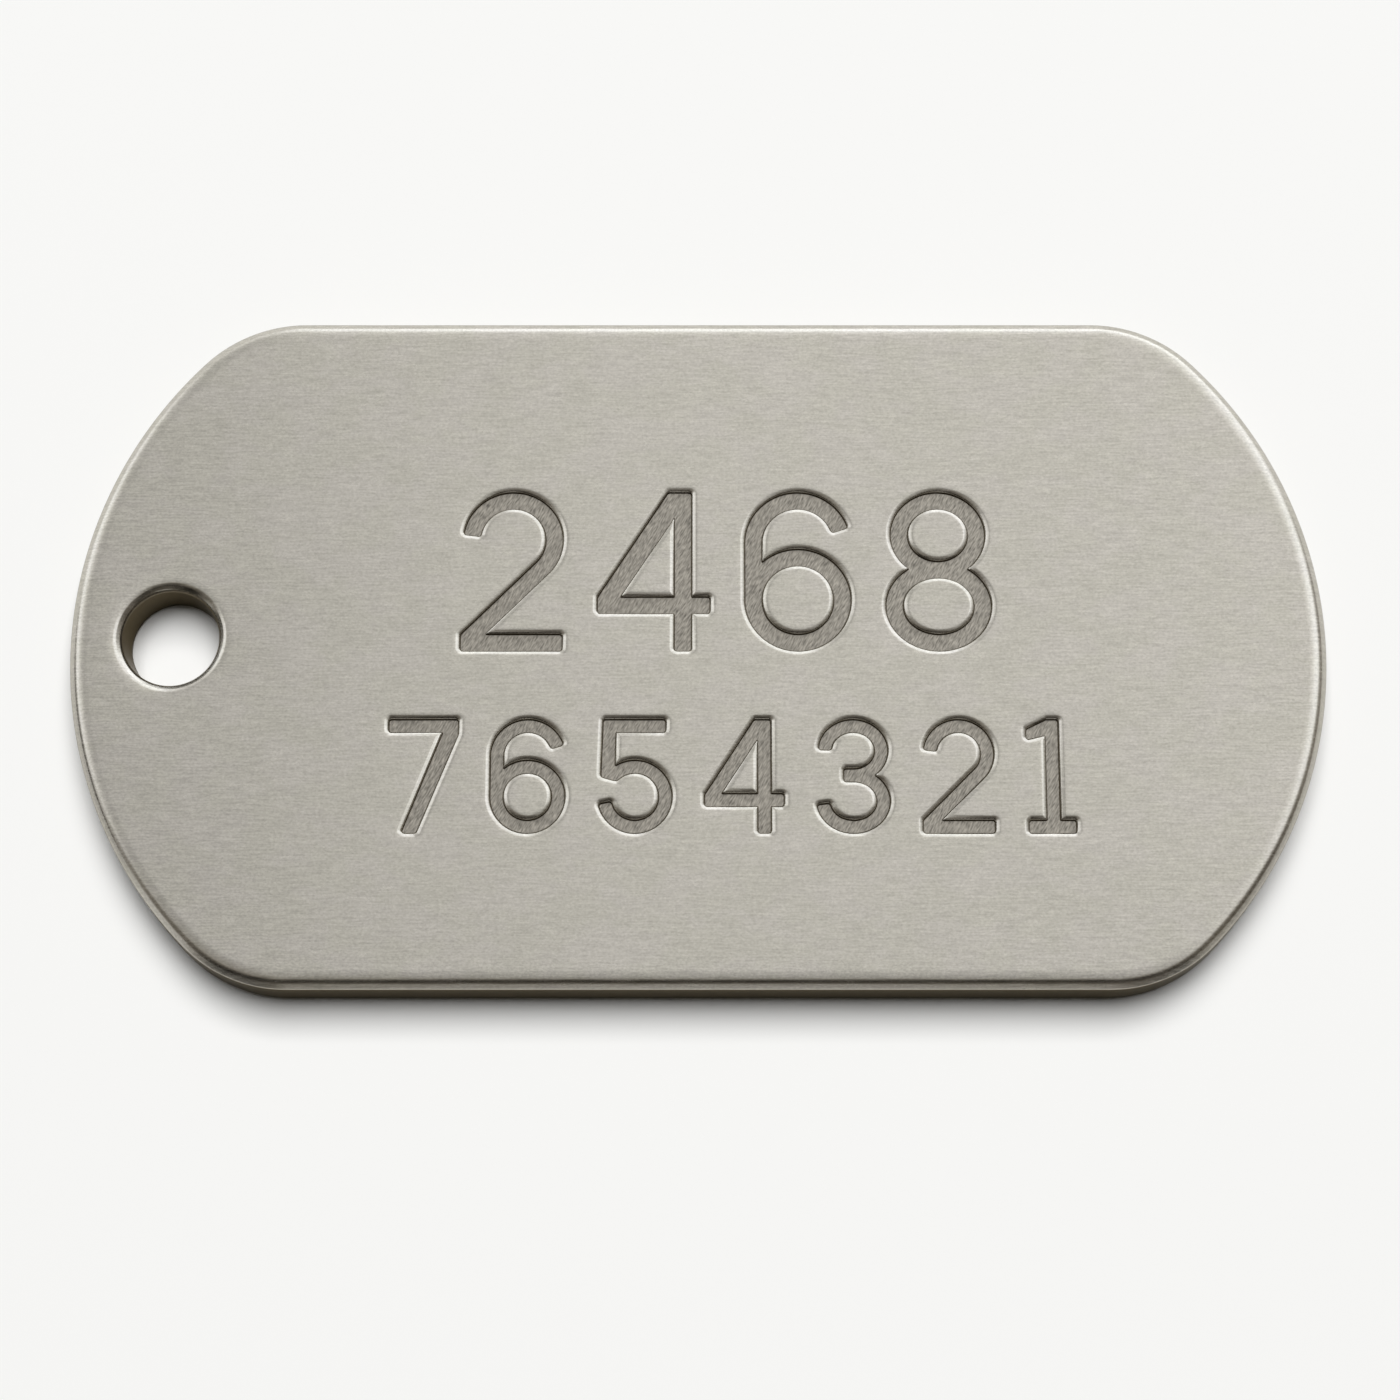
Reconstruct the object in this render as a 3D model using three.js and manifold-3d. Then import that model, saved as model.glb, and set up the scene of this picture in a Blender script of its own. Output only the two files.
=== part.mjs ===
// A pet identity tag: one steel plate with bowed ends, rounded edges, a hole for the split ring
// and two lines of plain numbers cut into its front.
//
// Millimetres, +Z up. The origin is the middle of the back face, which lies on the table.
// +X runs along the plate, away from the ring hole, and +Y across it, towards the top of the numbers.
import * as THREE from "three";
import { mergeVertices } from "three/addons/utils/BufferGeometryUtils.js";
import Module from "manifold-3d";

const wasm = await Module();
wasm.setup();

// The plate
const plateLength = 51;
const plateWidth = 27.9;
const plateThickness = 2.4;
const endReach = 9.25; // how far each bowed end reaches past the straight long edges
const cornerRadius = 5.95; // leads a bowed end into a long edge

// The plate's edge, from the front face to the back face
const shoulderRadius = 1.2;
const shoulderTurn = 18; // how far the shoulder turns the surface down from the face, in degrees
const kneeRadius = 0.6;
const chamferTurn = 43; // how far the front chamfer leans from the face, in degrees
const chamferWidth = 0.155; // seen from the front
const heelRadius = 0.12; // between the chamfer and the wall
const wallLean = 0.1; // how much further the wall reaches at its back end
const backEdgeRadius = 0.3;

// The ring hole
const holeDiameter = 3.8; // at the back
const holeTaper = 0.06; // how much the radius grows from the back to the front
const holeWall = 2.25; // the metal left between the hole and the end of the plate
const holeRise = 0.41; // above the plate's middle line
const frontHoleChamfer = 0.28; // seen from the front
const frontHoleChamferDepth = 0.33;
const backHoleChamfer = 0.15;

// The engraving, a large line of numbers over a small one
const engravingDepth = 0.22;
const engravingDrop = 0.55; // from the plate's middle down to the middle of both lines together
const lineGap = 2.85;
const largeLine = {
  digits: "2468",
  height: 6.65,
  stroke: 0.68,
  gap: 1.43, // between two digits
  shift: 1.13, // the line's middle stands this far from the plate's, away from the hole
};
const smallLine = {
  digits: "7654321",
  height: 4.62,
  stroke: 0.51,
  gap: 1.32,
  shift: 1.33,
};

// How finely round stretches are cut into flats
const endArcSteps = 18;
const cornerArcSteps = 10;
const backEdgeSteps = 4;
const frontArcSteps = 2; // for each of the shoulder, the knee and the heel
const holeSteps = 64;
const strokeArcSteps = 22;

const cutOverrun = 1; // how far a cutter reaches past the face that it opens

// The plate's outline, drawn in by inset: each quarter is an end arc and a corner arc about fixed centres.
// The end arc's centre is on the middle line, and its radius is the one that touches the corner arc.
function plateOutline(inset) {
  const cornerX = plateLength / 2 - endReach;
  const cornerY = plateWidth / 2 - cornerRadius;
  const endRadius =
    (endReach ** 2 + cornerY ** 2 - cornerRadius ** 2) / (2 * (endReach - cornerRadius));
  const endCentre = plateLength / 2 - endRadius;
  const meeting = Math.atan2(cornerY, cornerX - endCentre);
  const quarter = [];
  for (let i = 0; i <= endArcSteps; i++) {
    const a = (meeting * i) / endArcSteps;
    const r = endRadius - inset;
    quarter.push([endCentre + r * Math.cos(a), r * Math.sin(a)]);
  }
  for (let i = 1; i <= cornerArcSteps; i++) {
    const a = meeting + ((Math.PI / 2 - meeting) * i) / cornerArcSteps;
    const r = cornerRadius - inset;
    quarter.push([cornerX + r * Math.cos(a), cornerY + r * Math.sin(a)]);
  }
  const back = quarter.slice().reverse();
  return [
    ...quarter,
    ...back.map(([x, y]) => [-x, y]).slice(0, -1),
    ...quarter.map(([x, y]) => [-x, -y]),
    ...back.map(([x, y]) => [x, -y]).slice(0, -1),
  ];
}

// The front edge as [distance from the face's border, depth]: the shoulder and the knee, the flat chamfer,
// and the heel, whose arc ends upright.
function frontEdge() {
  const rows = [[0, 0]];
  const arc = (radius, from, to) => {
    const [x, y] = rows.at(-1);
    const first = THREE.MathUtils.degToRad(from);
    for (let i = 1; i <= frontArcSteps; i++) {
      const turn = THREE.MathUtils.degToRad(from + ((to - from) * i) / frontArcSteps);
      const across = radius * (Math.sin(turn) - Math.sin(first));
      rows.push([x + across, y + radius * (Math.cos(first) - Math.cos(turn))]);
    }
  };
  arc(shoulderRadius, 0, shoulderTurn);
  arc(kneeRadius, shoulderTurn, chamferTurn);
  const [x, y] = rows.at(-1);
  const chamferDepth = chamferWidth * Math.tan(THREE.MathUtils.degToRad(chamferTurn));
  rows.push([x + chamferWidth, y + chamferDepth]);
  arc(heelRadius, chamferTurn, 90);
  return rows;
}

// The whole edge from back to front as [inset, height]: a quarter circle at the back face, the leaning wall,
// and the front edge.
function edgeProfile() {
  const rows = [];
  for (let i = 0; i <= backEdgeSteps; i++) {
    const a = ((Math.PI / 2) * i) / backEdgeSteps;
    rows.push([backEdgeRadius * (1 - Math.sin(a)), backEdgeRadius * (1 - Math.cos(a))]);
  }
  const front = frontEdge().reverse();
  const reach = front[0][0] + wallLean;
  return [...rows, ...front.map(([across, depth]) => [reach - across, plateThickness - depth])];
}

// A closed body through a stack of outlines with as many points each, capped flat at both ends.
function stackOutlines(rings) {
  const count = rings[0].length;
  const positions = rings.flat(2);
  const index = [];
  for (let k = 0; k + 1 < rings.length; k++) {
    for (let i = 0; i < count; i++) {
      const j = (i + 1) % count;
      const [a, b] = [k * count + i, k * count + j];
      const [c, d] = [a + count, b + count];
      index.push(a, b, d, a, d, c);
    }
  }
  const top = (rings.length - 1) * count;
  for (let i = 1; i + 1 < count; i++) {
    index.push(0, i + 1, i);
    index.push(top, top + i, top + i + 1);
  }
  const geometry = new THREE.BufferGeometry();
  geometry.setAttribute("position", new THREE.Float32BufferAttribute(positions, 3));
  geometry.setIndex(index);
  return geometry;
}

// A stroke with straight sides, through its corner points.
function bar(...corners) {
  return new THREE.Shape(corners.map(([x, y]) => new THREE.Vector2(x, y)));
}

// A stroke along an ellipse, clockwise from one angle to another, in degrees. rx and ry are its outer radii.
function bow(cx, cy, rx, ry, s, from, to) {
  const [start, stop] = [THREE.MathUtils.degToRad(from), THREE.MathUtils.degToRad(to)];
  const shape = new THREE.Shape();
  shape.absellipse(cx, cy, rx, ry, start, stop, true);
  shape.absellipse(cx, cy, rx - s, ry - s, stop, start, false);
  return shape;
}

// A stroke that closes on itself.
function ring(cx, cy, rx, ry, s) {
  const shape = new THREE.Shape();
  shape.absellipse(cx, cy, rx, ry, 0, 2 * Math.PI);
  const eye = new THREE.Path();
  eye.absellipse(cx, cy, rx - s, ry - s, 0, 2 * Math.PI, true);
  shape.holes.push(eye);
  return shape;
}

// Every digit stands in a box one unit high. s is the width of its strokes in that box.
const digits = {
  1: {
    width: 0.415,
    strokes: (s) => [
      bar([0.01, 0], [0.415, 0], [0.415, s], [0.01, s]),
      bar([0.167, 0], [0.167 + s, 0], [0.167 + s, 1], [0.167, 1]),
      bar([0, 0.822], [0.175, 0.864], [0.175 + s / 2, 1], [0.175, 1], [0, 0.915]),
    ],
  },
  2: {
    width: 0.617,
    strokes: (s) => {
      const [cx, cy, rx, ry, turn] = [0.313, 0.698, 0.304, 0.302, Math.SQRT1_2];
      const outer = [cx + rx * turn, cy - ry * turn];
      const inner = [cx + (rx - s) * turn, cy - (ry - s) * turn];
      return [
        bow(cx, cy, rx, ry, s, 173, -45),
        bar(outer, inner, [0, inner[1] - inner[0]], [0, 0], [outer[0] - outer[1], 0]),
        bar([0, 0], [0.617, 0], [0.617, s], [0, s]),
      ];
    },
  },
  3: {
    width: 0.631,
    strokes: (s) => {
      const low = 0.453;
      const high = low + s;
      return [
        bow(0.316, (1 + low) / 2, 0.299, (1 - low) / 2, s, 178, -90),
        bow(0.3155, high / 2, 0.3155, high / 2, s, 90, -173),
        bar([0.235, low], [0.33, low], [0.33, high], [0.235, high]),
      ];
    },
  },
  4: {
    width: 0.684,
    strokes: (s) => [
      bar([0.571 - s, 0], [0.571, 0], [0.571, 1], [0.571 - s, 1]),
      bar([0, 0.235], [0.684, 0.235], [0.684, 0.235 + s], [0, 0.235 + s]),
      bar([0.429, 1], [0, 0.337], [0, 0.25], [0.08, 0.252], [0.571, 1]),
    ],
  },
  5: {
    width: 0.64,
    strokes: (s) => [
      bar([0.045, 1 - s], [0.585, 1 - s], [0.585, 1], [0.045, 1]),
      bar([0.028, 0.495], [0.033 + s, 0.462], [0.045 + s, 1], [0.045, 1]),
      bow(0.3205, 0.3195, 0.3195, 0.3195, s, 140, -168),
    ],
  },
  6: {
    width: 0.645,
    strokes: (s) => [
      bow(0.3225, 0.6775, 0.3225, 0.3225, s, 180, 18),
      bar([0, 0.3225], [s, 0.3225], [s, 0.6775], [0, 0.6775]),
      ring(0.3225, 0.3195, 0.3225, 0.3195, s),
    ],
  },
  7: {
    width: 0.6,
    strokes: (s) => [
      bar([0, 1 - s], [0.6, 1 - s], [0.6, 1], [0, 1]),
      bar([0.123, 0], [0.25, 0], [0.6, 0.868], [0.6, 1], [0.512, 1]),
    ],
  },
  8: {
    width: 0.64,
    strokes: (s) => {
      const low = 0.46;
      const high = low + s;
      return [
        ring(0.32, (1 + low) / 2, 0.288, (1 - low) / 2, s),
        ring(0.32, high / 2, 0.32, high / 2, s),
      ];
    },
  },
};

// manifold-3d joins and cuts. It takes a closed mesh whose shared vertices are merged.
function solidOf(geometry) {
  const bare = new THREE.BufferGeometry();
  bare.setAttribute("position", geometry.getAttribute("position"));
  bare.setIndex(geometry.index);
  const merged = mergeVertices(bare, 1e-4);
  return new wasm.Manifold(
    new wasm.Mesh({
      numProp: 3,
      vertProperties: merged.getAttribute("position").array,
      triVerts: new Uint32Array(merged.index.array),
    }),
  );
}

function geometryOf(solid) {
  const mesh = solid.getMesh();
  const geometry = new THREE.BufferGeometry();
  geometry.setAttribute("position", new THREE.BufferAttribute(mesh.vertProperties, 3));
  geometry.setIndex(new THREE.BufferAttribute(mesh.triVerts, 1));
  const flat = geometry.toNonIndexed();
  flat.computeVertexNormals();
  return flat;
}

// The cutter for one line of digits that stands on the height bottom.
function lineCutter(line, bottom) {
  const widths = [...line.digits].map((d) => digits[d].width * line.height);
  const length = widths.reduce((sum, w) => sum + w, 0) + line.gap * (widths.length - 1);
  let left = line.shift - length / 2;
  let cutter = null;
  [...line.digits].forEach((digit, i) => {
    for (const stroke of digits[digit].strokes(line.stroke / line.height)) {
      const geometry = new THREE.ExtrudeGeometry(stroke, {
        depth: engravingDepth + cutOverrun,
        bevelEnabled: false,
        curveSegments: strokeArcSteps,
      });
      geometry.scale(line.height, line.height, 1);
      geometry.translate(left, bottom, plateThickness - engravingDepth);
      const solid = solidOf(geometry);
      cutter = cutter ? cutter.add(solid) : solid;
    }
    left += widths[i] + line.gap;
  });
  return cutter;
}

// The cutter for the ring hole, turned about its own axis, a little wider towards the front and with a chamfer
// at each face. Each chamfer goes on at its own slope until it is clear of the plate.
function holeCutter() {
  const r = holeDiameter / 2;
  const rim = r + holeTaper;
  const front = rim + frontHoleChamfer * (1 + cutOverrun / frontHoleChamferDepth);
  const back = r + backHoleChamfer + cutOverrun;
  const profile = [
    [0, -cutOverrun],
    [back, -cutOverrun],
    [r, backHoleChamfer],
    [rim, plateThickness - frontHoleChamferDepth],
    [front, plateThickness + cutOverrun],
    [0, plateThickness + cutOverrun],
  ].map(([x, y]) => new THREE.Vector2(x, y));
  const geometry = new THREE.LatheGeometry(profile, holeSteps);
  geometry.rotateX(Math.PI / 2);
  geometry.translate(holeWall + r - plateLength / 2, holeRise, 0);
  return solidOf(geometry);
}

function makePlate() {
  const rings = edgeProfile().map(([inset, z]) =>
    plateOutline(inset).map(([x, y]) => [x, y, z]),
  );
  const bottom = -engravingDrop - (largeLine.height + lineGap + smallLine.height) / 2;
  const cutters = [
    holeCutter(),
    lineCutter(smallLine, bottom),
    lineCutter(largeLine, bottom + smallLine.height + lineGap),
  ];
  const blank = solidOf(stackOutlines(rings));
  return geometryOf(cutters.reduce((body, cutter) => body.subtract(cutter), blank));
}

const brushedSteel = new THREE.MeshStandardMaterial({
  color: new THREE.Color().setRGB(0.46, 0.44, 0.385),
  roughness: 0.38,
  metalness: 1,
});

const tag = new THREE.Group();
const plate = new THREE.Mesh(makePlate(), brushedSteel);
plate.name = "tag_plate";
tag.add(plate);

export default tag;
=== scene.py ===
# A pet identity tag of brushed steel, lying on a white table and seen from almost straight above.
import math
import bmesh
import bpy
import numpy as np
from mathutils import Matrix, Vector
from mathutils.geometry import delaunay_2d_cdt


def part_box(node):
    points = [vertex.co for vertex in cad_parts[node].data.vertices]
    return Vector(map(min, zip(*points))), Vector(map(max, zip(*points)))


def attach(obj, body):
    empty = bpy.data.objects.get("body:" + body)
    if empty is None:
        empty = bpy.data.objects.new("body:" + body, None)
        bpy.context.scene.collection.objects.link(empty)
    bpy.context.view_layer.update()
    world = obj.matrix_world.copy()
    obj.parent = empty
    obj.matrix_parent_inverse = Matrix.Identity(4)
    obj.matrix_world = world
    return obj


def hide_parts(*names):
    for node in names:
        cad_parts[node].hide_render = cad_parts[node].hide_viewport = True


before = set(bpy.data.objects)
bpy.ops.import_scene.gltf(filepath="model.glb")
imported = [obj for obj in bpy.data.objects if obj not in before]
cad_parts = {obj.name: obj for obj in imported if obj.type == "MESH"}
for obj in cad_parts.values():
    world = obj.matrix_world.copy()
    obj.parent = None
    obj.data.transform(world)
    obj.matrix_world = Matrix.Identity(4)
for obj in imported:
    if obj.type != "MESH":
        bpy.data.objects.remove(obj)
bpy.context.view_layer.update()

mm = 0.001
low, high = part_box("tag_plate")
plateLength, plateWidth, plateThickness = (high - low) / mm

# Camera

view = {
    "tilt": math.radians(12.93),  # from straight down, leaning back towards the lower edge of the tag
    "distance": 119.45 * mm,
    "aim": Vector((0.07, -1.66, 0)) * mm,
    "lens": 74.9,
    "sensor": 36,
    "clipStart": 1 * mm,
}


def makeCamera():
    data = bpy.data.cameras.new("camera")
    data.lens = view["lens"]
    data.sensor_width = view["sensor"]
    data.clip_start = view["clipStart"]
    camera = bpy.data.objects.new("camera", data)
    bpy.context.scene.collection.objects.link(camera)
    back = Vector((0, -math.sin(view["tilt"]), math.cos(view["tilt"])))
    camera.location = view["aim"] + back * view["distance"]
    camera.rotation_euler = (view["tilt"], 0, 0)
    bpy.context.scene.camera = camera


makeCamera()
print("camera placed")

# Plate, in millimetres

plate = {
    "endReach": 9.25,  # how far each bowed end reaches past the straight long edges
    "cornerRadius": 5.95,
    "shoulder": (1.2, 18),  # the front edge's arcs: a radius, and how far each turns the surface down
    "knee": (0.6, 43),
    "chamfer": 0.155,  # its width, seen from the front
    "heelRadius": 0.12,
    "wallLean": 0.1,  # how much further the wall reaches at its back end
    "wallTilt": 87,  # degrees at which both rounded edges hand over to the wall
    "backEdge": 0.3,
    "endSteps": 44,
    "cornerSteps": 30,
    "straightSteps": 6,
    "merge": 0.0002,
}
hole = {
    "radius": 1.9,
    "wall": 2.25,  # the metal left between the hole and the end of the plate
    "rise": 0.41,
    "taper": 0.06,  # how much the radius grows from the back to the rim
    # the chamfered and rounded rim, as (distance outside the bore's wall, degrees from level)
    "rim": (
        (0, 66), (0.05, 66), (0.06, 54), (0.085, 47), (0.1, 41), (0.2, 38), (0.225, 29), (0.285, 27),
        (0.31, 22), (0.345, 13), (0.37, 8), (0.45, 4), (0.62, 0),
    ),
    "levels": (
        0.62, 0.52, 0.45, 0.41, 0.385, 0.365, 0.345, 0.325, 0.31, 0.295, 0.28, 0.255, 0.23,
        0.215, 0.2, 0.185, 0.15, 0.115, 0.1, 0.09, 0.08, 0.065, 0.055, 0.045, 0.02, 0,
    ),
    "backChamfer": 0.15,
    "steps": 160,
}


# Columns of the outline: each point is a centre, a radius and a direction, so an inset only shortens
# the radius. One quarter is worked out, and the others are its mirror images.
def outlineColumns():
    reach, radius = plate["endReach"], plate["cornerRadius"]
    cornerX = plateLength / 2 - reach
    cornerY = plateWidth / 2 - radius
    endRadius = (reach ** 2 + cornerY ** 2 - radius ** 2) / (2 * (reach - radius))
    endX = plateLength / 2 - endRadius
    meeting = math.atan2(cornerY, cornerX - endX)
    endTurn = np.linspace(0, meeting, plate["endSteps"], endpoint=False)
    cornerTurn = np.linspace(meeting, math.pi / 2, plate["cornerSteps"], endpoint=False)
    straight = np.linspace(cornerX, 0, plate["straightSteps"], endpoint=False)
    turn = np.concatenate([endTurn, cornerTurn, np.full(straight.size, math.pi / 2)])
    centreX = np.concatenate([np.full(endTurn.size, endX), np.full(cornerTurn.size, cornerX), straight])
    onEnd = np.arange(turn.size) < endTurn.size
    centreY = np.where(onEnd, 0, cornerY)
    arm = np.where(onEnd, endRadius, radius)
    quarter = np.stack([centreX, centreY, arm, np.cos(turn), np.sin(turn)])
    middle = np.stack([0, cornerY, radius, 0, 1])[:, None]
    otherEnd = quarter * np.array([-1, 1, 1, -1, 1])[:, None]
    half = np.concatenate([quarter, middle, otherEnd[:, :0:-1]], axis=1)
    turned = half[:, 1:] * np.array([-1, -1, 1, -1, -1])[:, None]
    return np.concatenate([half, otherEnd[:, :1], turned], axis=1)


# A profile carried round the outline: point = centre + (radius - inset) * direction, at the row's height.
def carryRound(columns, profile):
    centreX, centreY, arm, alongX, alongY = columns
    inset, height = np.array(profile).T[:, :, None]
    x = centreX + (arm - inset) * alongX
    y = centreY + (arm - inset) * alongY
    return np.stack([x, y, np.broadcast_to(height, x.shape)], axis=-1)


# A chain of arcs and flats as (run, drop): an arc that turns from one tilt to another moves
# radius * (sin b - sin a) outwards and radius * (cos a - cos b) down.
def arcRows(radius, toTilt, fromTilt, steps, start):
    tilt = np.radians(np.linspace(fromTilt, toTilt, steps + 1))[1:]
    first = math.radians(fromTilt)
    run = start[0] + radius * (np.sin(tilt) - math.sin(first))
    drop = start[1] + radius * (math.cos(first) - np.cos(tilt))
    return np.stack([run, drop], axis=1)


# The front edge as (distance from the face's border, depth).
def frontEdge():
    rows = [np.zeros((1, 2))]
    rows.append(arcRows(*plate["shoulder"], 0, 7, rows[-1][-1]))
    rows.append(arcRows(*plate["knee"], plate["shoulder"][1], 9, rows[-1][-1]))
    slope = math.tan(math.radians(plate["knee"][1]))
    rows.append(rows[-1][-1] + plate["chamfer"] * np.array([[0.5, 0.5 * slope], [1, slope]]))
    rows.append(arcRows(plate["heelRadius"], plate["wallTilt"], plate["knee"][1], 6, rows[-1][-1]))
    return np.concatenate(rows)


# The whole edge from the back face to the front face as (inset, height).
def edgeProfile():
    turn = np.radians(np.linspace(0, plate["wallTilt"], 8))
    radius = plate["backEdge"]
    back = np.stack([radius * (1 - np.sin(turn)), radius * (1 - np.cos(turn))], axis=1)
    across, depth = frontEdge()[::-1].T
    front = np.stack([across[0] + plate["wallLean"] - across, plateThickness - depth], axis=1)
    wall = np.linspace(back[-1], front[0], 8)[1:-1]
    return np.concatenate([back, wall, front])


# A rounded lip as (distance from its inner side, depth): the depth is the running sum of tan(tilt).
def lipRows(lip, levels):
    away, tilt = np.array(lip).T
    fine = np.linspace(away[-1], 0, 400)
    slope = np.tan(np.radians(np.interp(fine, away, tilt)))
    depth = np.concatenate([[0], np.cumsum((slope[1:] + slope[:-1]) / 2) * (fine[0] - fine[1])])
    return np.stack([levels, np.interp(-np.array(levels), -fine, depth)], axis=1)


# The hole's profile as (radius, height), from the front face down to the back face.
def holeProfile():
    r = hole["radius"]
    away, depth = lipRows(hole["rim"], hole["levels"]).T
    front = np.stack([r + hole["taper"] + away, plateThickness - depth], axis=1)
    down = np.array([0.015, 0.1, 0.3, 0.5, 0.7, 0.9, 1])
    wall = front[-1, 1] + (hole["backChamfer"] - front[-1, 1]) * down
    bore = np.stack([r + hole["taper"] * (1 - down), wall], axis=1)
    return np.concatenate([front, bore, [[r + hole["backChamfer"], 0.0]]])


def holeRings():
    turn = np.linspace(0, 2 * math.pi, hole["steps"], endpoint=False)
    r, z = holeProfile().T[:, :, None]
    x = hole["wall"] + hole["radius"] - plateLength / 2 + r * np.cos(turn)
    y = hole["rise"] + r * np.sin(turn)
    return np.stack([x, y, np.broadcast_to(z, x.shape)], axis=-1)


# Engraving, in millimetres

engraving = {
    "depth": 0.22,
    "drop": 0.55,  # from the plate's middle down to the middle of both lines together
    "lineGap": 2.85,
    # the rounded lip of a groove, as (distance outside the stroke's side, degrees from level)
    "lip": ((0, 75), (0.012, 71), (0.02, 52), (0.05, 46), (0.06, 31), (0.172, 23), (0.197, 9), (0.31, 0)),
    "levels": (
        0.31, 0.27, 0.225, 0.195, 0.182, 0.167, 0.135, 0.1, 0.075, 0.062, 0.052, 0.035, 0.022, 0.012, 0,
    ),
    "cornerRadius": 0.06,
    "margin": 0.36,
    "cell": 0.045,  # the grid on which the distance to the strokes is worked out
    "overlap": 0.002,  # a level just outside the strokes, where overlapping ones are joined
    "merge": 0.0005,
    "flat": math.radians(2.5),  # points where a level line turns less than this are dropped
}
largeLine = {"digits": "2468", "height": 6.65, "stroke": 0.68, "gap": 1.43, "shift": 1.13}
smallLine = {"digits": "7654321", "height": 4.62, "stroke": 0.51, "gap": 1.32, "shift": 1.33}


def bar(*corners):
    return [np.array(corners, float)]


# Points on an ellipse, from one angle to another in degrees.
def ellipse(cx, cy, rx, ry, start, stop):
    turn = np.radians(np.linspace(start, stop, int(abs(stop - start) / 3) + 1))
    return np.stack([cx + rx * np.cos(turn), cy + ry * np.sin(turn)], axis=1)


# A stroke along an ellipse, and one that closes on itself. rx and ry are outer radii, and s is the
# stroke's width.
def bow(cx, cy, rx, ry, s, start, stop):
    outer = ellipse(cx, cy, rx, ry, start, stop)
    inner = ellipse(cx, cy, rx - s, ry - s, stop, start)
    return [np.concatenate([outer, inner])]


def ring(cx, cy, rx, ry, s):
    return [ellipse(cx, cy, rx, ry, 0, 357), ellipse(cx, cy, rx - s, ry - s, 0, 357)]


# Every digit stands in a box one unit high. Each function gives its width and its strokes.
def digitOne(s):
    foot = bar((0.01, 0), (0.415, 0), (0.415, s), (0.01, s))
    stem = bar((0.167, 0), (0.167 + s, 0), (0.167 + s, 1), (0.167, 1))
    flag = bar((0, 0.822), (0.175, 0.864), (0.175 + s / 2, 1), (0.175, 1), (0, 0.915))
    return 0.415, [foot, stem, flag]


def digitTwo(s):
    cx, cy, rx, ry = 0.313, 0.698, 0.304, 0.302
    turn = math.sqrt(0.5)
    outer = (cx + rx * turn, cy - ry * turn)
    inner = (cx + (rx - s) * turn, cy - (ry - s) * turn)
    slope = bar(outer, inner, (0, inner[1] - inner[0]), (0, 0), (outer[0] - outer[1], 0))
    foot = bar((0, 0), (0.617, 0), (0.617, s), (0, s))
    return 0.617, [bow(cx, cy, rx, ry, s, 173, -45), slope, foot]


def digitThree(s):
    lower = 0.453
    upper = lower + s
    top = bow(0.316, (1 + lower) / 2, 0.299, (1 - lower) / 2, s, 178, -90)
    bottom = bow(0.3155, upper / 2, 0.3155, upper / 2, s, 90, -173)
    middle = bar((0.235, lower), (0.33, lower), (0.33, upper), (0.235, upper))
    return 0.631, [top, bottom, middle]


def digitFour(s):
    stem = bar((0.571 - s, 0), (0.571, 0), (0.571, 1), (0.571 - s, 1))
    arm = bar((0, 0.235), (0.684, 0.235), (0.684, 0.235 + s), (0, 0.235 + s))
    slope = bar((0.429, 1), (0, 0.337), (0, 0.25), (0.08, 0.252), (0.571, 1))
    return 0.684, [stem, arm, slope]


def digitFive(s):
    top = bar((0.045, 1 - s), (0.585, 1 - s), (0.585, 1), (0.045, 1))
    stem = bar((0.028, 0.495), (0.033 + s, 0.462), (0.045 + s, 1), (0.045, 1))
    bowl = bow(0.3205, 0.3195, 0.3195, 0.3195, s, 140, -168)
    return 0.64, [top, stem, bowl]


def digitSix(s):
    top = bow(0.3225, 0.6775, 0.3225, 0.3225, s, 180, 18)
    stem = bar((0, 0.3225), (s, 0.3225), (s, 0.6775), (0, 0.6775))
    bowl = ring(0.3225, 0.3195, 0.3225, 0.3195, s)
    return 0.645, [top, stem, bowl]


def digitSeven(s):
    top = bar((0, 1 - s), (0.6, 1 - s), (0.6, 1), (0, 1))
    slope = bar((0.123, 0), (0.25, 0), (0.6, 0.868), (0.6, 1), (0.512, 1))
    return 0.6, [top, slope]


def digitEight(s):
    lower = 0.46
    upper = lower + s
    top = ring(0.32, (1 + lower) / 2, 0.288, (1 - lower) / 2, s)
    bottom = ring(0.32, upper / 2, 0.32, upper / 2, s)
    return 0.64, [top, bottom]


digitShapes = {
    "1": digitOne, "2": digitTwo, "3": digitThree, "4": digitFour,
    "5": digitFive, "6": digitSix, "7": digitSeven, "8": digitEight,
}


# Distance from each point to a stroke's nearest side, below zero inside it. The sides that a line
# to the right of a point crosses, counted as odd or even, say which side of the stroke it is on.
def strokeDistance(points, loops):
    a = np.concatenate(loops)
    side = np.concatenate([np.roll(loop, -1, axis=0) for loop in loops]) - a
    gap = points[:, None, :] - a
    along = np.clip((gap * side).sum(2) / (side ** 2).sum(1), 0, 1)
    distance = np.sqrt(((gap - along[:, :, None] * side) ** 2).sum(2)).min(1)
    rises = (gap[:, :, 1] >= 0) != (gap[:, :, 1] >= side[:, 1])
    level = np.where(side[:, 1] == 0, 1, side[:, 1])
    crossing = rises & (gap[:, :, 0] < side[:, 0] * gap[:, :, 1] / level)
    return np.where(crossing.sum(1) % 2 == 1, -distance, distance)


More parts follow.
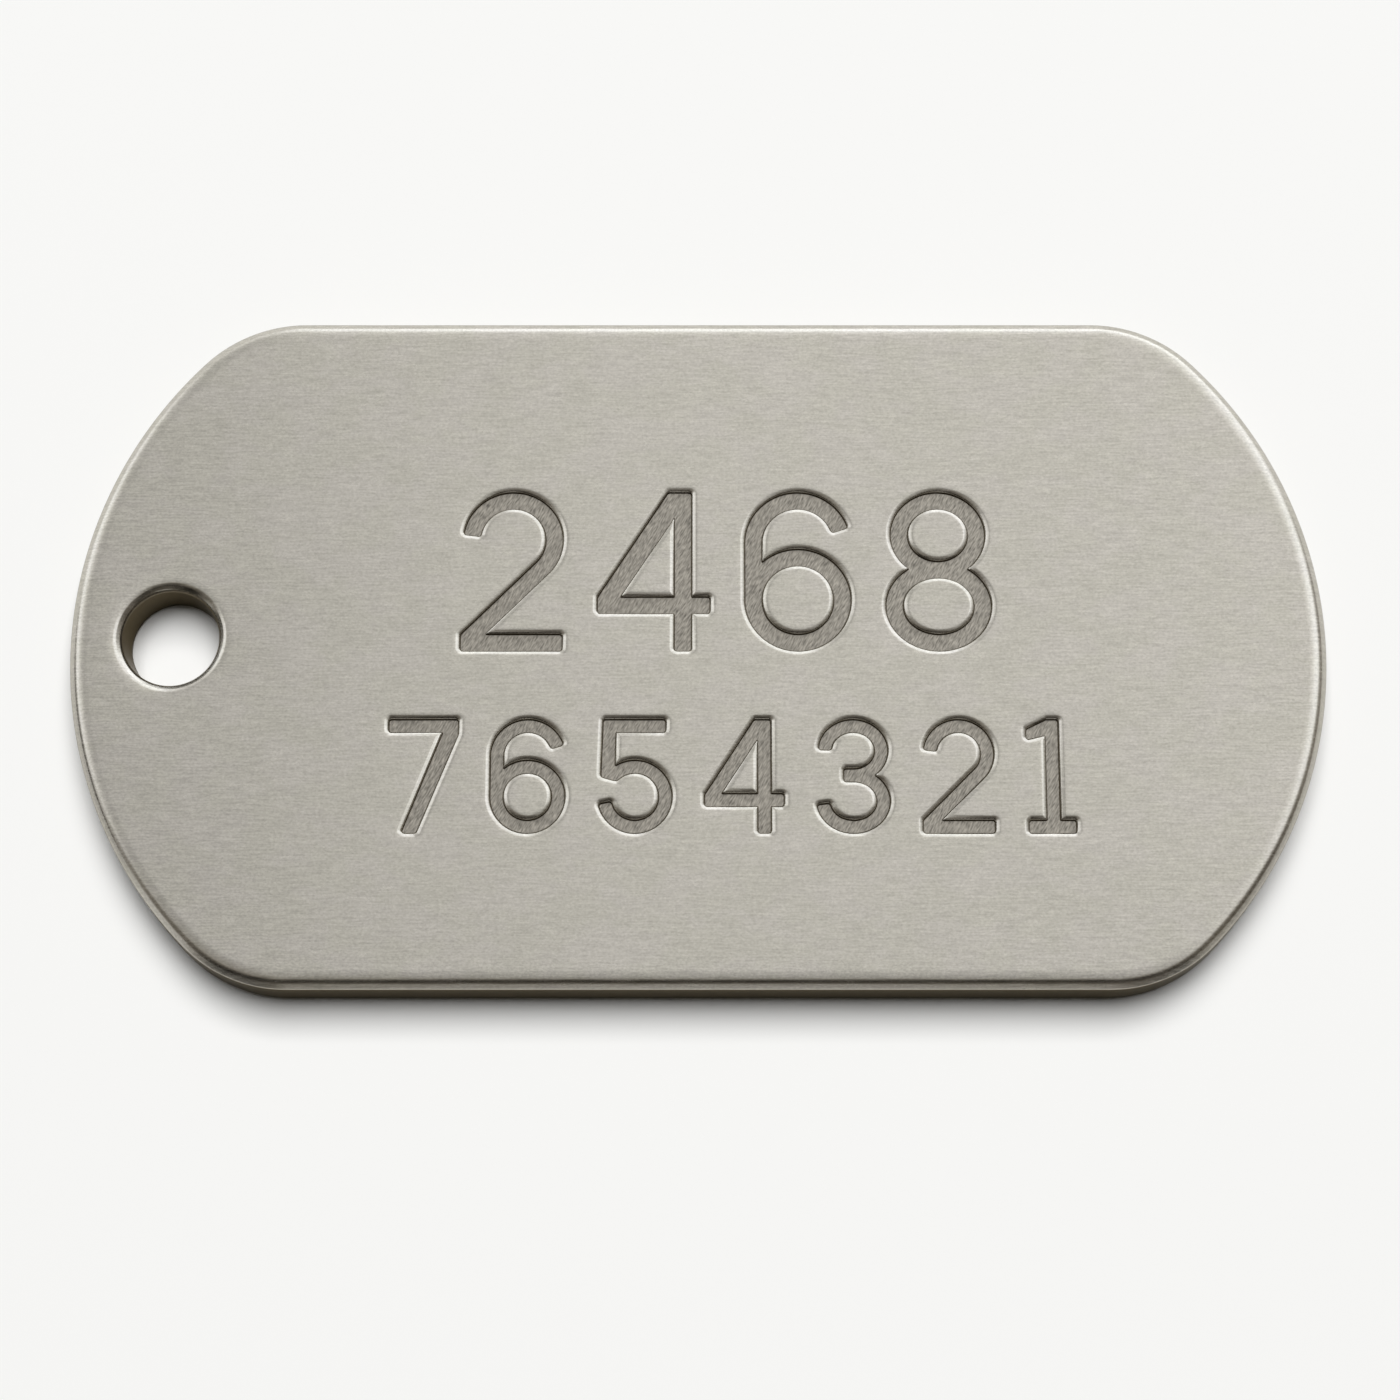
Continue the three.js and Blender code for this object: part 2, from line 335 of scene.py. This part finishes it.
# The line where a gridded field has one value: a point on each grid edge that it crosses, by straight
# interpolation, and a piece of line between two such points in each cell.
def levelLine(field, level, corner):
    v = field - level
    cutX = (v[:-1, :] > 0) != (v[1:, :] > 0)
    cutY = (v[:, :-1] > 0) != (v[:, 1:] > 0)
    idX = np.full(cutX.shape, -1)
    idY = np.full(cutY.shape, -1)
    idX[cutX] = np.arange(cutX.sum())
    idY[cutY] = np.arange(cutY.sum()) + cutX.sum()
    i, j = np.nonzero(cutX)
    pointsX = np.stack([i + v[i, j] / (v[i, j] - v[i + 1, j]), j], axis=1)
    i, j = np.nonzero(cutY)
    pointsY = np.stack([i, j + v[i, j] / (v[i, j] - v[i, j + 1])], axis=1)
    sides = np.stack([idX[:, :-1], idY[1:, :], idX[:, 1:], idY[:-1, :]])
    count = (sides >= 0).sum(0)
    plain = np.sort(sides[:, count == 2], axis=0)[2:].T
    saddle = sides[:, count == 4].T
    pieces = np.concatenate([plain, saddle[:, :2], saddle[:, 2:]])
    return corner + engraving["cell"] * np.concatenate([pointsX, pointsY]), pieces


# Distance from each point to a closed line: the nearest of the line's corners comes first, then the
# nearer of the two pieces that meet there.
def lineDistance(points, corners, pieces):
    ends = np.concatenate([pieces, pieces[:, ::-1]])
    others = ends[np.argsort(ends[:, 0], kind="stable"), 1].reshape(-1, 2)
    apart = (corners ** 2).sum(1) - 2 * points @ corners.T
    near = apart.argmin(1)
    start = corners[near][:, None]
    side = corners[others[near]] - start
    gap = points[:, None] - start
    along = np.clip((gap * side).sum(2) / np.maximum((side ** 2).sum(2), 1e-12), 0, 1)
    return np.sqrt(((gap - along[:, :, None] * side) ** 2).sum(2)).min(1)


# The distance field again, from its own line at one level: exact where strokes overlap, and with the
# outer corners rounded when the level lies inside.
def measureAgain(field, level, points, corner):
    distance = lineDistance(points, *levelLine(field, level, corner)).reshape(field.shape)
    return np.where(field > level, distance, -distance) + level


# Levels of a groove as (distance from the stroke's side, depth). Below the lip the wall keeps the lip's
# last tilt down to the floor.
def grooveLevels():
    lip = lipRows(engraving["lip"], engraving["levels"])
    lean = (engraving["depth"] - lip[-1, 1]) / math.tan(math.radians(engraving["lip"][0][1]))
    return np.concatenate([lip, [[-lean, engraving["depth"] - 0.001], [-lean - 0.015, engraving["depth"]]]])


# One engraved digit in its own rectangle of the face: the level lines of the distance to its strokes,
# each at its own depth, joined into triangles.
def engraveDigit(shape, line, left, bottom):
    width, strokes = shape(line["stroke"] / line["height"])
    cell, margin = engraving["cell"], engraving["margin"]
    corner = np.array([left - margin, bottom - margin])
    size = np.array([width, 1]) * line["height"] + 2 * margin
    nx, ny = np.ceil(size / cell).astype(int) + 1
    grid = corner + cell * np.stack(np.meshgrid(np.arange(nx), np.arange(ny), indexing="ij"), axis=-1)
    points = grid.reshape(-1, 2)
    placed = [[np.array([left, bottom]) + line["height"] * loop for loop in loops] for loops in strokes]
    field = np.min([strokeDistance(points, loops) for loops in placed], axis=0).reshape(nx, ny)
    field = measureAgain(field, engraving["overlap"], points, corner)
    field = measureAgain(field, -engraving["cornerRadius"], points, corner)
    lines = [levelLine(field, away, corner) for away, _ in grooveLevels()]
    start = np.cumsum([0] + [len(where) for where, _ in lines])
    where = np.concatenate([where for where, _ in lines])
    depth = np.repeat([depth for _, depth in grooveLevels()], np.diff(start))
    mesh = bpy.data.meshes.new("levels")
    pieces = np.concatenate([some + first for first, (_, some) in zip(start, lines)])
    mesh.from_pydata(np.column_stack([where, -depth]).tolist(), pieces.tolist(), [])
    bm = bmesh.new()
    bm.from_mesh(mesh)
    bmesh.ops.remove_doubles(bm, verts=bm.verts, dist=engraving["merge"])
    bmesh.ops.dissolve_limit(bm, angle_limit=engraving["flat"], verts=bm.verts, edges=bm.edges)
    bm.to_mesh(mesh)
    bm.free()
    found = np.empty(3 * len(mesh.vertices), np.float32)
    mesh.vertices.foreach_get("co", found)
    pieces = np.empty(2 * len(mesh.edges), np.int32)
    mesh.edges.foreach_get("vertices", pieces)
    bpy.data.meshes.remove(mesh)
    border = np.column_stack([[grid[0, 0], grid[-1, 0], grid[-1, -1], grid[0, -1]], np.zeros(4)])
    points = np.concatenate([border, found.reshape(-1, 3)]) + [0, 0, plateThickness]
    edges = np.concatenate([[[0, 1], [1, 2], [2, 3], [3, 0]], pieces.reshape(-1, 2) + 4])
    return points, joinFlat(points, edges.tolist())


# Triangles between the points, with every listed edge kept.
def joinFlat(points, edges):
    found = delaunay_2d_cdt([Vector(p[:2]) for p in points.tolist()], edges, [], 0, 1e-7)
    if len(found[0]) != len(points):
        raise ValueError(f"lines of the face cross: {len(found[0]) - len(points)} points more")
    origin = np.array([ids[0] for ids in found[3]])
    triangles = origin[np.array(found[2])]
    a, b, c = (points[triangles[:, k], :2] for k in range(3))
    turn = (b[:, 0] - a[:, 0]) * (c[:, 1] - a[:, 1]) - (b[:, 1] - a[:, 1]) * (c[:, 0] - a[:, 0])
    triangles[turn < 0] = triangles[turn < 0][:, ::-1]
    return triangles


def engraveLine(line, bottom):
    shapes = [digitShapes[digit] for digit in line["digits"]]
    widths = [shape(line["stroke"] / line["height"])[0] * line["height"] for shape in shapes]
    left = line["shift"] - (sum(widths) + line["gap"] * (len(widths) - 1)) / 2
    made = []
    for shape, width in zip(shapes, widths):
        made.append(engraveDigit(shape, line, left, bottom))
        left += width + line["gap"]
    return made


# A face of the plate as triangles: inside the outer loop, and outside the loops cut from it.
def fillFace(outer, cuts):
    loops = [outer, *cuts]
    points = np.concatenate(loops)
    start = np.cumsum([0] + [len(loop) for loop in loops])
    rings = [np.arange(first, first + len(loop)) for first, loop in zip(start, loops)]
    edges = np.concatenate([np.stack([ids, np.roll(ids, -1)], axis=1) for ids in rings])
    triangles = joinFlat(points, edges.tolist())
    middle = points[triangles, :2].mean(axis=1)
    kept = strokeDistance(middle, [loop[:, :2] for loop in loops]) < 0
    return points, triangles[kept]


# Quads between neighbouring rows of a grid whose columns close on themselves.
def gridQuads(rows, columns):
    i, j = np.meshgrid(np.arange(rows - 1) * columns, np.arange(columns), indexing="ij")
    right = (j + 1) % columns
    above = i + columns
    return np.stack([i + j, i + right, above + right, above + j], axis=-1).reshape(-1, 4)


# The plate is built from patches that share the points of their borders. How deep a point lies in the
# engraving and how upright its surface is are kept for the steel.
def makePlate():
    edge = carryRound(outlineColumns(), edgeProfile())
    bore = holeRings()
    bottom = -engraving["drop"] - (largeLine["height"] + engraving["lineGap"] + smallLine["height"]) / 2
    digits = engraveLine(smallLine, bottom)
    digits += engraveLine(largeLine, bottom + smallLine["height"] + engraving["lineGap"])
    front = fillFace(edge[-1], [bore[0]] + [points[:4] for points, _ in digits])
    back = fillFace(edge[0], [bore[-1]])
    patches = [
        (edge.reshape(-1, 3), gridQuads(*edge.shape[:2])),
        (bore.reshape(-1, 3), gridQuads(*bore.shape[:2])),
        front,
        (back[0], back[1][:, ::-1]),
        *digits,
    ]
    start = np.cumsum([0] + [len(points) for points, _ in patches])
    points = np.concatenate([points for points, _ in patches])
    faces = [face for first, (_, some) in zip(start, patches) for face in (some + first).tolist()]
    mesh = bpy.data.meshes.new("engraved_plate")
    mesh.from_pydata((points * mm).tolist(), [], faces)
    cut = (plateThickness - points[:, 2]) / engraving["depth"]
    cut[:start[-1 - len(digits)]] = 0  # the edge, the hole and the two faces come before the digits
    mesh.attributes.new("engraved", "FLOAT", "POINT").data.foreach_set("value", cut.astype(np.float32))
    bm = bmesh.new()
    bm.from_mesh(mesh)
    bmesh.ops.remove_doubles(bm, verts=bm.verts, dist=plate["merge"] * mm)
    bm.to_mesh(mesh)
    openEdges = sum(len(edge.link_faces) != 2 for edge in bm.edges)
    print("plate has", len(bm.faces), "faces and", openEdges, "open edges")
    bm.free()
    mesh.shade_smooth()
    normals = np.empty(3 * len(mesh.vertices), np.float32)
    mesh.vertex_normals.foreach_get("vector", normals)
    upright = 1 - np.abs(normals.reshape(-1, 3)[:, 2])
    mesh.attributes.new("upright", "FLOAT", "POINT").data.foreach_set("value", upright)
    piece = bpy.data.objects.new("engraved_plate", mesh)
    bpy.context.scene.collection.objects.link(piece)
    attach(piece, "root")
    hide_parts("tag_plate")
    return piece


tag = makePlate()
print("plate built")


# Shader maths: a Wire is one socket. Arithmetic on it adds Math nodes, and node() adds any other node.
class Wire:
    def __init__(self, tree, socket=None):
        self.tree = tree
        self.socket = socket

    def node(self, kind, settings=None, inputs=None, output=0):
        made = self.tree.nodes.new(kind)
        for name, value in (settings or {}).items():
            if name == "stops":
                while len(made.color_ramp.elements) < len(value):
                    made.color_ramp.elements.new(1)
                for element, (position, colour) in zip(made.color_ramp.elements, value):
                    element.position = position
                    element.color = (*colour, 1)
            else:
                setattr(made, name, value)
        for name, value in (inputs or {}).items():
            self.feed(made.inputs[name], value)
        return Wire(self.tree, made.outputs[output] if made.outputs else None)

    def feed(self, socket, value):
        if isinstance(value, Wire):
            self.tree.links.new(value.socket, socket)
        else:
            socket.default_value = value

    def maths(self, operation, *values):
        return self.node("ShaderNodeMath", {"operation": operation}, dict(enumerate(values)))

    def __add__(self, other):
        return self.maths("ADD", self, other)

    def __radd__(self, other):
        return self.maths("ADD", other, self)

    def __sub__(self, other):
        return self.maths("SUBTRACT", self, other)

    def __rsub__(self, other):
        return self.maths("SUBTRACT", other, self)

    def __mul__(self, other):
        return self.maths("MULTIPLY", self, other)

    def __rmul__(self, other):
        return self.maths("MULTIPLY", other, self)

    # From 0 at low to 1 at high, eased at both ends.
    def ease(self, low, high):
        settings = {"interpolation_type": "SMOOTHSTEP"}
        return self.node("ShaderNodeMapRange", settings, {0: self, 1: low, 2: high, 3: 0.0, 4: 1.0})

    # A place stretched along its axes.
    def scaled(self, factors):
        return self.node("ShaderNodeVectorMath", {"operation": "MULTIPLY"}, {0: self, 1: factors})

    def noise(self, detail, roughness=0.5):
        return self.node("ShaderNodeTexNoise", {}, {
            "Vector": self, "Scale": 1.0, "Detail": float(detail), "Roughness": roughness})

    # A colour between two, by this value.
    def between(self, first, second):
        return self.node("ShaderNodeMix", {"data_type": "RGBA"}, {0: self, 6: first, 7: second}, 2)

    # This colour darkened by another.
    def tinted(self, other):
        settings = {"data_type": "RGBA", "blend_type": "MULTIPLY"}
        return self.node("ShaderNodeMix", settings, {0: 1.0, 6: self, 7: other}, 2)

    # This value as a grey.
    def grey(self):
        return self.node("ShaderNodeCombineColor", {}, {0: self, 1: self, 2: self})


def newMaterial(name):
    material = bpy.data.materials.new(name)
    material.use_nodes = True
    material.node_tree.nodes.clear()
    return material, Wire(material.node_tree)


steel = {
    "colour": (0.541, 0.521, 0.472, 1),
    "warm": (1.0, 0.995, 0.965, 1),
    "cool": (1.0, 0.987, 0.98, 1),
    "roughness": 0.25,
    "engravedColour": (0.36, 0.335, 0.29, 1),
    "engravedRoughness": 0.45,
    # painted shade: the dark brown colour and tint of the upright sides stand in for the shade they lie in
    "wallShadeColour": (0.158, 0.137, 0.105, 1),
    "wallShadeTint": (0.45, 0.42, 0.37, 1),
    "wallRoughness": 0.25,
    "wallFrom": (0.32, 0.62),  # how upright the metal is where its painted shade starts and where it is full
    "wallBelow": (0.5, 0.62),  # the same for a groove's side, as a share of the groove's depth
    "floorBelow": (0.9955, 0.9995),  # and for its hatched floor
    # how many times each pattern changes in a millimetre, along, across and through the plate
    "longRidges": (1.1, 14, 2),
    "shortRidges": (9, 13, 4),
    "cuts": (4, 19, 1),
    "cutTurn": math.radians(60),
    "sway": 0.1,
    "ridgeContrast": 0.45,
    "cloudContrast": 0.13,
    "cutContrast": 1.9,
    "patchContrast": 0.3,
    "bump": 0.4,
    "ridgeHeight": 0.004,  # in millimetres
}


def makeSteel():
    material, start = newMaterial("brushedSteel")
    place = start.node("ShaderNodeTexCoord", output=3).scaled((1 / mm, 1 / mm, 1 / mm))
    deep = start.node("ShaderNodeAttribute", {"attribute_name": "engraved"}, output=2)
    upright = start.node("ShaderNodeAttribute", {"attribute_name": "upright"}, output=2)
    engraved = deep.ease(*steel["floorBelow"])
    # fine ridges along the plate, made wavy by a slower noise
    sway = place.scaled((1.2, 1.6, 1.2)).noise(1)
    lift = start.node("ShaderNodeCombineXYZ", {}, {"Y": (sway - 0.5) * steel["sway"]})
    swayed = start.node("ShaderNodeVectorMath", {"operation": "ADD"}, {0: place, 1: lift})
    longRidges = swayed.scaled(steel["longRidges"]).noise(0)
    shortRidges = swayed.scaled(steel["shortRidges"]).noise(1)
    ridges = shortRidges + longRidges * 0.6 - 0.8
    cloud = place.scaled((0.45, 0.7, 0.5)).noise(4, 0.6)
    # the floor of the engraving is cut in close slanting lines
    turned = start.node("ShaderNodeMapping", {}, {"Vector": place, "Rotation": (0, 0, -steel["cutTurn"])})
    cuts = turned.scaled(steel["cuts"]).noise(1)
    tint = cloud.ease(0.4, 0.62).between(steel["warm"], steel["cool"])
    bright = 1 + ridges * steel["ridgeContrast"] + (cloud - 0.5) * steel["cloudContrast"]
    plain = tint.tinted(steel["colour"]).tinted(bright.grey())
    patch = place.scaled((2.2, 2.2, 2)).noise(2)
    worn = 1 + (cuts - 0.5) * steel["cutContrast"] + (patch - 0.5) * steel["patchContrast"]
    floor = worn.grey().tinted(steel["engravedColour"])
    colour = engraved.between(plain, floor)
    height = ridges * (1 - engraved) + cuts * engraved * 2
    bump = start.node("ShaderNodeBump", {}, {
        "Strength": steel["bump"], "Distance": steel["ridgeHeight"] * mm, "Height": height})
    grain = longRidges * 0.08 + steel["roughness"] - 0.04
    roughness = grain * (1 - engraved) + engraved * steel["engravedRoughness"]
    polished = start.node("ShaderNodeBsdfPrincipled", {}, {
        "Base Color": colour, "Metallic": 1.0, "Roughness": roughness, "Normal": bump})
    # painted shade: the upright sides of the plate, the hole and the grooves get a darker, browner steel
    # that stands in for the shade on them and the shadowed table they mirror
    shadedSides = start.node("ShaderNodeBsdfPrincipled", {}, {
        "Base Color": steel["wallShadeColour"], "Metallic": 1.0, "Roughness": steel["wallRoughness"],
        "Specular Tint": steel["wallShadeTint"]})
    side = start.maths("MAXIMUM", upright.ease(*steel["wallFrom"]), deep.ease(*steel["wallBelow"]))
    wall = side * (1 - engraved)
    shader = start.node("ShaderNodeMixShader", {}, {0: wall, 1: polished, 2: shadedSides})
    start.node("ShaderNodeOutputMaterial", {}, {"Surface": shader})
    return material


tag.data.materials.append(makeSteel())
print("steel made")

# Table, lamp and studio

studio = {
    "table": (0.935, 0.935, 0.92, 1),
    "tableWidth": 6.0,
    "ambient": 0.02,  # what the room adds to the table's own light
    "panelColour": (0.97, 1.0, 1.06, 1),  # the room's brightest parts are a little cooler
    "shadeColour": (1.14, 1.01, 0.84, 1),  # and its darkest a little browner
    # two dark cards low in front keep some of the room from the metal's corners
    "cards": ((0.77, -0.4, 0.49), (-0.76, -0.42, 0.48)),
    "cardReach": (0.2, 0.45),
    "cardLight": 0.19,  # what a card leaves of the room's brightness
    "lampTilt": math.radians(22.5),  # the lamp leans over from above the tag's upper edge
    "lampTurn": math.radians(6),  # and stands to the right of its middle
    "lampDistance": 2.4,
    "lampSpread": (math.radians(18), math.radians(20.5)),  # half of what it fills, sideways and lengthways
    "lampPower": 69.5,
}
# What the metal mirrors, as (direction, brightness): one list from left to right and one from front to
# back, each over a direction's sine from -1 to 1. The room's brightness that way is their product.
room = {
    "sideways": (
        (-1, 0.02), (-0.96, 0.1), (-0.935, 1.0), (-0.89, 1.6), (-0.743, 1.4), (-0.688, 1.22),
        (-0.629, 0.86), (-0.574, 0.69), (-0.4, 0.63), (-0.218, 0.63), (-0.151, 0.83), (-0.104, 0.9),
        (0, 0.985), (0.1, 0.955), (0.2, 0.935), (0.276, 1.0), (0.407, 1.2), (0.537, 1.45),
        (0.643, 1.75), (0.74, 1.65), (0.82, 1.1), (0.865, 0.55), (0.91, 0.36), (0.95, 0.27), (1, 0.27),
    ),
    "lengthways": (
        (-1, 0.75), (-0.985, 0.6), (-0.962, 0.24), (-0.93, 0.09), (-0.86, 0.08), (-0.8, 0.03),
        (-0.67, 0.03), (-0.585, 0.2), (-0.52, 0.42), (-0.45, 0.55), (-0.358, 0.62), (-0.292, 0.66),
        (-0.22, 0.7), (-0.049, 0.8), (0.05, 0.89), (0.125, 0.975), (0.216, 1.0), (0.342, 1.015),
        (0.643, 1.06), (0.725, 1.1), (0.773, 1.18), (0.812, 1.38), (0.86, 1.65), (0.92, 1.95),
        (0.96, 2.2), (1, 2.2),
    ),
}


def makeTable():
    mesh = bpy.data.meshes.new("table")
    half = studio["tableWidth"] / 2
    corners = [(-half, -half, 0), (half, -half, 0), (half, half, 0), (-half, half, 0)]
    mesh.from_pydata(corners, [], [(0, 1, 2, 3)])
    table = bpy.data.objects.new("table", mesh)
    bpy.context.scene.collection.objects.link(table)
    material, start = newMaterial("whiteTable")
    shader = start.node("ShaderNodeBsdfDiffuse", {}, {"Color": studio["table"]})
    start.node("ShaderNodeOutputMaterial", {}, {"Surface": shader})
    mesh.materials.append(material)


def makeLamp():
    data = bpy.data.lights.new("softbox", "AREA")
    data.shape = "RECTANGLE"
    distance = studio["lampDistance"]
    data.size, data.size_y = (2 * distance * math.tan(spread) for spread in studio["lampSpread"])
    data.energy = studio["lampPower"]
    lamp = bpy.data.objects.new("softbox", data)
    bpy.context.scene.collection.objects.link(lamp)
    tilt, turn = studio["lampTilt"], studio["lampTurn"]
    toLamp = Vector((math.sin(tilt) * math.sin(turn), math.sin(tilt) * math.cos(turn), math.cos(tilt)))
    lamp.location = toLamp * distance
    lamp.rotation_euler = (-tilt, 0, -turn)
    lamp.visible_glossy = False  # the room below is what the metal mirrors


def makeRoom():
    world = bpy.data.worlds.new("room")
    world.use_nodes = True
    world.node_tree.nodes.clear()
    bpy.context.scene.world = world
    start = Wire(world.node_tree)
    toward = start.node("ShaderNodeTexCoord")
    level = []
    for axis, name in enumerate(("sideways", "lengthways")):
        stops = [((sine + 1) / 2, (value / 3,) * 3) for sine, value in room[name]]
        part = start.node("ShaderNodeSeparateXYZ", {}, {0: toward}, axis)
        level.append(start.node("ShaderNodeValToRGB", {"stops": stops}, {0: part * 0.5 + 0.5}) * 3)
    seen = start.node("ShaderNodeLightPath")
    for kind in ("Is Glossy Ray", "Is Transmission Ray"):
        seen = start.maths("MAXIMUM", seen, start.node("ShaderNodeLightPath", output=kind))
    bright = level[0] * level[1]
    left = studio["cardLight"]
    for card in studio["cards"]:
        away = start.node("ShaderNodeVectorMath", {"operation": "DISTANCE"}, {0: toward, 1: card}, 1)
        bright = bright * (away.ease(*studio["cardReach"]) * (1 - left) + left)
    strength = bright * seen + studio["ambient"] * (1 - seen)
    colour = bright.ease(0.05, 0.6).between(studio["shadeColour"], (1, 1, 1, 1))
    colour = bright.ease(1.0, 1.8).between(colour, studio["panelColour"])
    shader = start.node("ShaderNodeBackground", {}, {"Color": colour, "Strength": strength})
    start.node("ShaderNodeOutputWorld", {}, {"Surface": shader})


makeTable()
makeLamp()
makeRoom()
bpy.context.scene.view_settings.view_transform = "Standard"
print("studio lit")
